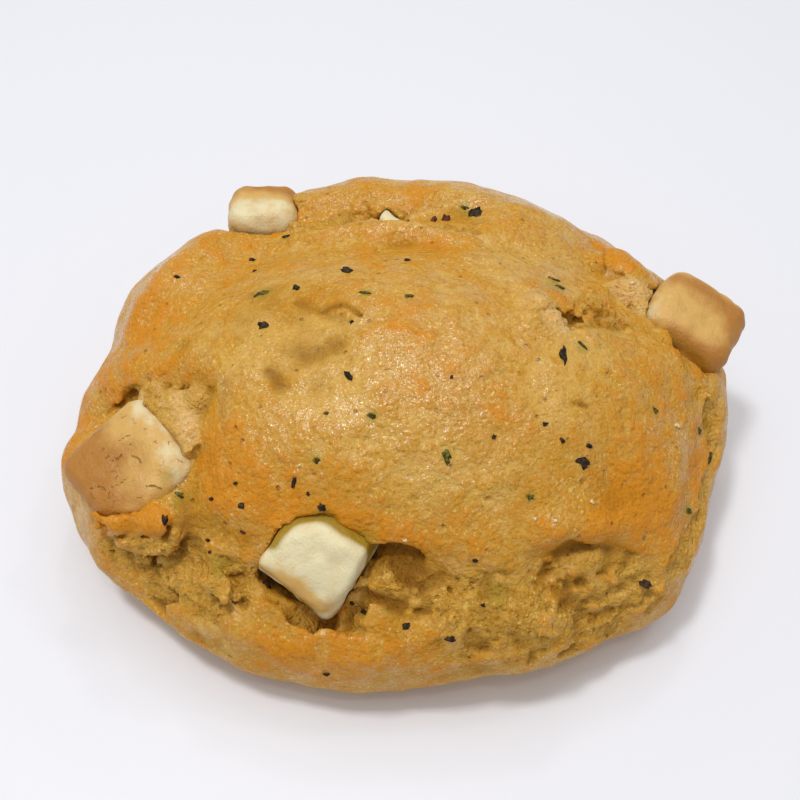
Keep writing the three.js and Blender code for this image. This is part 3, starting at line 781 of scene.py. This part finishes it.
# ---- flecks
FLECKS = (  # column, row, length, width, angle in the picture; pixels and degrees
    (347, 271, 13, 10, 20), (407, 260, 7, 5, 0), (264, 325, 13, 10, 10), (296, 288, 10, 7, 30),
    (352, 322, 4, 4, 0), (563, 355, 22, 9, 95), (583, 463, 16, 12, 60), (589, 446, 9, 5, 30),
    (562, 440, 8, 5, 50), (545, 424, 6, 5, 0), (494, 437, 5, 5, 0), (349, 376, 12, 7, 60),
    (294, 482, 13, 6, 100), (322, 507, 10, 8, 70), (266, 585, 13, 10, 60), (241, 506, 8, 6, 0),
    (352, 603, 6, 5, 0), (365, 613, 11, 6, 60), (406, 626, 10, 7, 0), (450, 639, 11, 7, 30),
    (327, 674, 7, 5, 0), (646, 584, 13, 9, 10), (483, 605, 5, 4, 0), (475, 560, 7, 5, 50),
    (475, 213, 15, 12, 20), (165, 521, 12, 7, 80), (287, 237, 8, 6, 0), (252, 260, 6, 5, 0),
    (177, 277, 8, 4, 30), (212, 499, 5, 5, 0), (236, 483, 5, 4, 0), (208, 540, 5, 4, 30),
)
RED_FLECKS = (
    (446, 220, 16, 8, 90), (434, 221, 13, 7, 90), (308, 494, 6, 4, 60), (243, 532, 6, 4, 30),
    (210, 552, 5, 4, 60), (235, 602, 7, 6, 60), (452, 377, 5, 4, 90), (255, 271, 5, 4, 0),
)
HERBS = (
    (553, 279, 13, 4, 25), (559, 287, 14, 5, 10), (583, 346, 13, 4, 60), (655, 411, 8, 6, 40),
    (709, 460, 20, 5, 100), (699, 431, 8, 6, 60), (688, 511, 9, 7, 30), (262, 294, 16, 9, 10),
    (366, 293, 15, 6, 10), (409, 296, 9, 6, 20), (372, 416, 9, 7, 40), (446, 456, 15, 9, 80),
    (316, 460, 8, 6, 50), (530, 497, 9, 6, 0), (326, 413, 7, 5, 0), (180, 495, 10, 8, 50),
    (465, 208, 8, 5, 30),
)
SALT = (
    (592, 502, 6, 5, 20), (535, 519, 4, 4, 0), (677, 426, 7, 5, 20), (555, 521, 5, 4, 0),
    (405, 540, 5, 4, 0), (632, 283, 5, 5, 0), (300, 465, 4, 4, 0),
)
BOXINESS, UNEVENNESS = 0.8, 0.28  # of a fleck's shape
draw = np.random.default_rng(41)
ball = bmesh.new()
bmesh.ops.create_icosphere(ball, subdivisions=2, radius=1)
ball.verts.ensure_lookup_table()
BALL_POINTS = np.array([vert.co[:] for vert in ball.verts])
BALL_FACES = np.array([[vert.index for vert in face.verts] for face in ball.faces])
ball.free()
loose_faces = [tuple(polygon.vertices) for polygon in dough_piece.data.polygons]
crust = BVHTree.FromPolygons(mesh_points(dough_piece.data).tolist(), loose_faces)


def fleck(place, out, length, width, thickness, angle):
    """An uneven flake that lies on the crust; its length runs along the angle in the picture."""
    turn = math.radians(angle)
    ahead = Vector((math.cos(turn), -math.sin(turn) * LOOK.y, 0)) - out * 0.001
    ahead = (ahead - out * ahead.dot(out)).normalized()
    aside = out.cross(ahead)
    shape = np.sign(BALL_POINTS) * np.abs(BALL_POINTS) ** BOXINESS
    shape = shape * (1 + UNEVENNESS * draw.standard_normal((len(shape), 1)))
    shape = shape * [0.43 * length, 0.40 * width, 0.5 * thickness]
    return np.array(place) + shape @ np.array([ahead[:], aside[:], out[:]])


def scatter(name, rows, thickness, hidden):
    """One piece of all the flecks of a kind: those in the picture and some on its far sides."""
    points = []
    for column, row, length, width, angle in rows:
        place, out = seen(column, row, crust)
        toward = CAMERA_AT - place
        size = toward.length / CAMERA_FOCAL
        tilt = max(0.2, 0.9 - out.dot(toward) / toward.length)
        out = (out + toward.normalized() * tilt).normalized()
        points.append(fleck(place, out, length * size, width * size, thickness, angle))
    for _ in range(hidden):  # a ray from outside, round the back and the sides
        around = math.radians(draw.uniform(-10, 190))
        lift = math.radians(draw.uniform(5, 50))
        ray = Vector((math.cos(around), math.sin(around), math.tan(lift)))
        place, out, _, _ = crust.ray_cast(Vector((0, 0, 12)) + ray * 200, -ray)
        if place is None or out.dot((CAMERA_AT - place).normalized()) > -0.2:
            continue
        length = draw.uniform(0.6, 1.6)
        width = length * draw.uniform(0.5, 0.9)
        points.append(fleck(place, out, length, width, thickness, draw.uniform(0, 180)))
    faces = [BALL_FACES + len(BALL_POINTS) * i for i in range(len(points))]
    piece = make_object(name, np.vstack(points), np.vstack(faces))
    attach(piece, "root")
    return piece


fleck_pieces = (  # thickness, and how many places are tried out of the picture's sight
    scatter("pepper_flecks", FLECKS, 0.5, 30),
    scatter("red_flecks", RED_FLECKS, 0.4, 6),
    scatter("herb_flecks", HERBS, 0.3, 10),
    scatter("salt_grains", SALT, 0.6, 6),
)


# ---- materials
GOLD = (0.58, 0.275, 0.018, 1)
PALE = (0.65, 0.375, 0.070, 1)
ORANGE = (0.65, 0.248, 0.008, 1)
CRUMB = (0.58, 0.325, 0.046, 1)
CREAM = (0.73, 0.455, 0.165, 1)
# pale glaze grain, and the colour of painted highlights (curls and glints)
GLAZE_AND_HIGHLIGHT = (0.92, 0.66, 0.20, 1)
# the colour of painted shade in hollows, cracks and on darker slopes
BROWN = (0.25, 0.098, 0.004, 1)
SHADE = (0.47, 0.235, 0.018, 1)  # damp, darker crumb
OLIVE = (0.34, 0.235, 0.016, 1)
TOFFEE = (0.40, 0.14, 0.004, 1)
IVORY = (0.79, 0.695, 0.42, 1)
CHEESE_GOLD = (0.68, 0.40, 0.100, 1)
CHEESE_BROWN = (0.46, 0.19, 0.022, 1)
# the colour of painted shade on the cheese
CHEESE_SHADE_OLIVE = (0.37, 0.225, 0.012, 1)


class Graph:
    """Builds one material's nodes."""

    def __init__(self, name):
        self.material = bpy.data.materials.new(name)
        self.material.use_nodes = True
        self.tree = self.material.node_tree
        self.shader = self.tree.nodes["Principled BSDF"]
        self.place = self.tree.nodes.new("ShaderNodeTexCoord").outputs["Object"]

    def node(self, kind, inputs=(), **settings):
        made = self.tree.nodes.new("ShaderNode" + kind)
        for key, value in settings.items():
            setattr(made, key, value)
        for key, value in dict(inputs).items():
            self.feed(made.inputs[key], value)
        return made

    def feed(self, socket, value):
        """Links a node's output to a socket, or sets the socket's own value."""
        if isinstance(value, bpy.types.NodeSocket):
            self.tree.links.new(value, socket)
        else:
            socket.default_value = value

    def noise(self, millimetres, detail=2.0, roughness=0.5):
        inputs = {"Vector": self.place, "Scale": 1 / (millimetres * MM), "Detail": detail}
        return self.node("TexNoise", {**inputs, "Roughness": roughness}).outputs["Fac"]

    def attribute(self, name):
        return self.node("Attribute", attribute_name=name).outputs["Fac"]

    def math(self, operation, a, b=0.0, clamp=False):
        return self.node("Math", {0: a, 1: b}, operation=operation, use_clamp=clamp).outputs[0]

    def plus(self, a, b):
        return self.math("ADD", a, b)

    def times(self, a, b, clamp=False):
        return self.math("MULTIPLY", a, b, clamp)

    def cells(self, millimetres, place=None, **settings):
        inputs = {"Vector": place or self.place, "Scale": 1 / (millimetres * MM)}
        return self.node("TexVoronoi", inputs, **settings).outputs

    def ramp(self, value, low, high, to_low=0.0, to_high=1.0):
        inputs = {"Value": value, "From Min": low, "From Max": high}
        inputs.update({"To Min": to_low, "To Max": to_high})
        return self.node("MapRange", inputs, interpolation_type="SMOOTHSTEP").outputs["Result"]

    def mix(self, factor, a, b):
        return self.node("Mix", {"Factor": factor, 6: a, 7: b}, data_type="RGBA").outputs[2]

    def layered(self, colour, *layers):
        """A colour with others over it, each with how much of it shows."""
        for share, other in layers:
            colour = self.mix(share, colour, other)
        return colour

    def bump(self, height, distance, strength, normal=None):
        if isinstance(distance, bpy.types.NodeSocket):
            distance = self.times(distance, MM)
        else:
            distance = distance * MM
        made = self.node("Bump", {"Height": height, "Distance": distance, "Strength": strength})
        if normal:
            self.tree.links.new(normal, made.inputs["Normal"])
        return made.outputs["Normal"]

    def set(self, name, value):
        self.feed(self.shader.inputs[name], value)

    def soften(self, weight, radius, millimetres):
        self.set("Subsurface Weight", weight)
        self.set("Subsurface Radius", radius)
        self.set("Subsurface Scale", millimetres * MM)


def crust_material():
    g = Graph("crust")
    hollows_and_shade, gloss = g.attribute("hollows_and_shade"), g.attribute("gloss")
    blotches = g.ramp(g.noise(2.4, 5, 0.7), 0.3, 0.7, -0.8, 0.8)
    toast = g.plus(g.attribute("toast"), g.ramp(g.noise(8, 4, 0.6), 0.3, 0.7, -0.6, 0.6))
    toast = g.plus(toast, blotches)
    toast = g.plus(toast, g.ramp(hollows_and_shade, 0, -0.35, 0, 0.5))
    crumb = g.ramp(g.plus(g.attribute("crumb"), g.times(blotches, 0.25)), 0.15, 0.9)
    soft = g.mix(g.ramp(g.noise(1.8, 4, 0.7), 0.35, 0.65), CRUMB, SHADE)
    soft = g.mix(g.ramp(g.noise(0.55, 2, 0.7), 0.52, 0.68, 0, 0.5), soft, CREAM)
    plain = g.ramp(toast, 1.5, 0.5, 0.15)
    shine = g.plus(gloss, g.ramp(g.noise(6, 2), 0.4, 0.7, 0, 0.5))
    # painted highlight: thin pale curls where the crust is glossy; they also bump the surface
    curls = g.math("ABSOLUTE", g.math("SUBTRACT", g.noise(1.2, 2, 0.6), 0.5))
    curls = g.times(g.ramp(curls, 0.035, 0.008), g.ramp(shine, 0.4, 1.1))
    glints = g.times(g.ramp(g.noise(0.42, 1), 0.58, 0.74, 0, 0.6), plain)
    glints = g.times(glints, g.ramp(g.noise(5, 3), 0.35, 0.65, 0.2, 1))
    olive = g.times(g.attribute("olive"), g.ramp(g.noise(1, 3), 0.25, 0.55, 0.3, 1.2))
    cells = g.cells(1.9)
    specks = g.times(g.ramp(cells["Color"], 0.6, 0.64), g.ramp(cells["Distance"], 0.16, 0.06))
    cells = g.cells(0.9)
    pores = g.times(g.ramp(cells["Color"], 0.55, 0.6), crumb)
    pores = g.times(pores, g.ramp(toast, -1.4, -0.6))
    pores = g.times(pores, g.ramp(cells["Distance"], 0.4, 0.15))
    colour = g.layered(
        GOLD,
        (g.ramp(toast, 0.1, -1), PALE),
        (g.ramp(toast, 0.1, 1.4), ORANGE),
        (g.times(crumb, 0.85), soft),
        (g.ramp(g.attribute("toast"), -1, -2.2), CREAM),
        (g.ramp(g.noise(0.9, 3, 0.7), 0.5, 0.66, 0, 0.35), ORANGE),
        (g.ramp(toast, 1.6, 2.8, 0, 0.35), TOFFEE),
        (g.times(g.ramp(g.noise(0.7, 3, 0.75), 0.48, 0.62, 0, 0.6), plain), PALE),
        (g.ramp(g.noise(0.5, 2, 0.7), 0.45, 0.3, 0, 0.4), TOFFEE),
        # painted highlights: curls and glints
        (g.times(curls, 0.5), GLAZE_AND_HIGHLIGHT),
        (glints, GLAZE_AND_HIGHLIGHT),
        (g.ramp(olive, 0.05, 0.9, 0, 0.6), OLIVE),
        # painted shade: hollows, cracks and painted shaded places turn brown
        (g.ramp(hollows_and_shade, 0.08, 0.7, 0, 0.9), BROWN),
        (g.times(specks, 0.5), TOFFEE),
        (g.times(pores, 0.3), TOFFEE),
    )
    g.set("Base Color", colour)
    g.set("Roughness", 0.65)
    g.set("Specular IOR Level", 0.14)
    g.soften(0.2, (1.0, 0.45, 0.12), 1.5)
    coarse = g.bump(g.noise(2.4, 2), 0.7, 1.0)
    middle = g.bump(g.noise(0.9, 2, 0.6), g.ramp(crumb, 0, 1, 0.30, 0.38), 1.0, coarse)
    fine = g.bump(g.noise(0.45, 1), g.ramp(crumb, 0, 1, 0.10, 0.18), 1.0, middle)
    fine = g.bump(curls, 0.06, 1.0, fine)
    fine = g.bump(pores, -0.12, 1.0, fine)
    g.set("Normal", g.bump(specks, -0.3, 1.0, fine))
    shine = g.plus(g.ramp(g.noise(3.0, 3), 0.35, 0.65, 0.25, 0.85), gloss)
    shine = g.times(shine, g.ramp(toast, 1.5, 0.2, 0.4))
    height = g.node("SeparateXYZ", {"Vector": g.place}).outputs["Z"]
    shine = g.times(shine, g.ramp(height, 2 * MM, 12 * MM, 0.15, 1.0))
    shine = g.times(shine, g.ramp(hollows_and_shade, 0.02, 0.35, 1.0, 0.1))
    g.set("Coat Weight", g.times(shine, g.ramp(crumb, 0.0, 1.0, 1.0, 0.25), clamp=True))
    g.set("Coat Roughness", 0.2)
    g.set("Coat IOR", 1.55)
    g.set("Coat Normal", g.bump(g.noise(0.8, 2, 0.6), 0.34, 1.0, coarse))
    return g.material


def cheese_material():
    g = Graph("cheese")
    browned_and_shaded = g.plus(g.attribute("browned_and_shaded"), g.ramp(g.noise(2.4, 4), 0.3, 0.7, -0.15, 0.15))
    bent = g.node("TexNoise", {"Vector": g.place, "Scale": 1 / (1.5 * MM), "Detail": 2})
    shift = g.node("VectorMath", {0: bent.outputs["Color"], "Scale": 1.6 * MM}, operation="SCALE")
    place = g.node("VectorMath", {0: g.place, 1: shift.outputs[0]}, operation="ADD").outputs[0]
    cells = g.cells(2.4, place, feature="DISTANCE_TO_EDGE")
    cracks = g.ramp(cells["Distance"], 0.035, 0.0)
    cracks = g.times(cracks, g.ramp(g.noise(1.4, 2), 0.58, 0.66))
    cracks = g.times(cracks, g.attribute("cracked"))
    drawn = g.times(g.attribute("crack"), g.ramp(g.noise(0.5, 2), 0.3, 0.5, 0.3))
    cracks = g.math("MAXIMUM", cracks, g.times(g.ramp(drawn, 0.2, 0.8), 2.0))
    colour = g.layered(
        IVORY,
        # browning, with painted shade on the cheese's lower faces
        (g.ramp(browned_and_shaded, 0.05, 0.6), CHEESE_GOLD),
        (g.ramp(browned_and_shaded, 0.6, 1.5), CHEESE_BROWN),
        # painted shade on the cheese, in olive
        (g.ramp(g.attribute("cheese_shade"), 0.1, 0.8), CHEESE_SHADE_OLIVE),
        (g.times(cracks, 0.28), CHEESE_BROWN),
    )
    g.set("Base Color", colour)
    g.set("Roughness", g.ramp(g.noise(1.5, 3), 0.3, 0.7, 0.4, 0.6))
    g.soften(0.25, (1.0, 0.7, 0.35), 1.5)
    bump = g.bump(g.noise(1.4, 4, 0.6), 0.25, 0.6)
    bump = g.bump(cracks, -0.15, 1.0, bump)
    bump = g.bump(g.noise(0.35, 3), 0.10, 0.8, bump)
    g.set("Normal", bump)
    return g.material


def fleck_material(name, dark, light, roughness):
    g = Graph(name)
    g.set("Base Color", g.mix(g.ramp(g.noise(0.4, 3), 0.4, 0.7), dark, light))
    g.set("Roughness", roughness)
    g.set("Specular IOR Level", 0.25)
    g.set("Normal", g.bump(g.noise(0.25, 2), 0.15, 0.8))
    return g.material


def salt_material(name, dark, light, roughness):
    g = Graph(name)
    g.set("Base Color", g.mix(g.ramp(g.noise(0.5, 2), 0.4, 0.7), dark, light))
    g.set("Roughness", roughness)
    g.soften(0.4, (1.0, 0.9, 0.7), 0.5)
    return g.material


dough_piece.data.materials.append(crust_material())
curd = cheese_material()
for node, piece in cheese_pieces.items():
    piece.data.materials.append(curd)
fleck_materials = (  # dark and light colour, roughness
    fleck_material("pepper", (0.010, 0.006, 0.003, 1), (0.09, 0.045, 0.015, 1), 0.6),
    fleck_material("red_pepper", (0.06, 0.010, 0.005, 1), (0.18, 0.05, 0.015, 1), 0.6),
    fleck_material("herb", (0.045, 0.035, 0.006, 1), (0.22, 0.18, 0.025, 1), 0.8),
    salt_material("salt", (0.72, 0.54, 0.28, 1), (0.80, 0.66, 0.42, 1), 0.25),
)
for piece, material in zip(fleck_pieces, fleck_materials):
    piece.data.materials.append(material)

# ---- floor, light and camera
floor_mesh = bpy.data.meshes.new("floor")
floor_mesh.from_pydata([(-2, -2, 0), (2, -2, 0), (2, 2, 0), (-2, 2, 0)], [], [(0, 1, 2, 3)])
floor = bpy.data.objects.new("floor", floor_mesh)
bpy.context.scene.collection.objects.link(floor)
plain = Graph("floor")
plain.set("Base Color", (0.84, 0.845, 0.885, 1))
plain.set("Roughness", 0.5)
floor_mesh.materials.append(plain.material)

LIT_POINT = Vector((0, 0, 10))
LAMPS = {  # place, size, watts
    "overhead": ((-60, 60, 650), (650, 420), 0.85),
    "key": ((-150, 0, 620), (80, 80), 1.35),
    "lamp_rear": ((40, 330, 520), (50, 50), 0.18),
    "lamp_front": ((60, -160, 620), (50, 50), 0.2),
    "lamp_right": ((260, 120, 540), (50, 50), 0.15),
}
for name, (at, size, watts) in LAMPS.items():
    data = bpy.data.lights.new(name, "AREA")
    data.shape = "RECTANGLE"
    data.size, data.size_y = (side * MM for side in size)
    data.energy = watts
    light = bpy.data.objects.new(name, data)
    light.location = Vector(at) * MM
    light.rotation_euler = (Vector(at) - LIT_POINT).to_track_quat("Z", "Y").to_euler()
    bpy.context.scene.collection.objects.link(light)

world = bpy.data.worlds.new("studio")
bpy.context.scene.world = world
world.use_nodes = True
background = world.node_tree.nodes["Background"].inputs
background["Color"].default_value = (0.96, 0.97, 1.0, 1)
background["Strength"].default_value = 0.46

camera_data = bpy.data.cameras.new("camera")
camera_data.sensor_width = SENSOR
camera_data.lens = SENSOR * CAMERA_FOCAL / IMAGE_SIDE
camera_data.clip_start = 0.01
camera = bpy.data.objects.new("camera", camera_data)
camera.location = CAMERA_AT * MM
camera.rotation_euler = (math.radians(90 - CAMERA_TILT), 0, 0)
bpy.context.scene.collection.objects.link(camera)
bpy.context.scene.camera = camera
bpy.context.scene.view_settings.view_transform = "Standard"
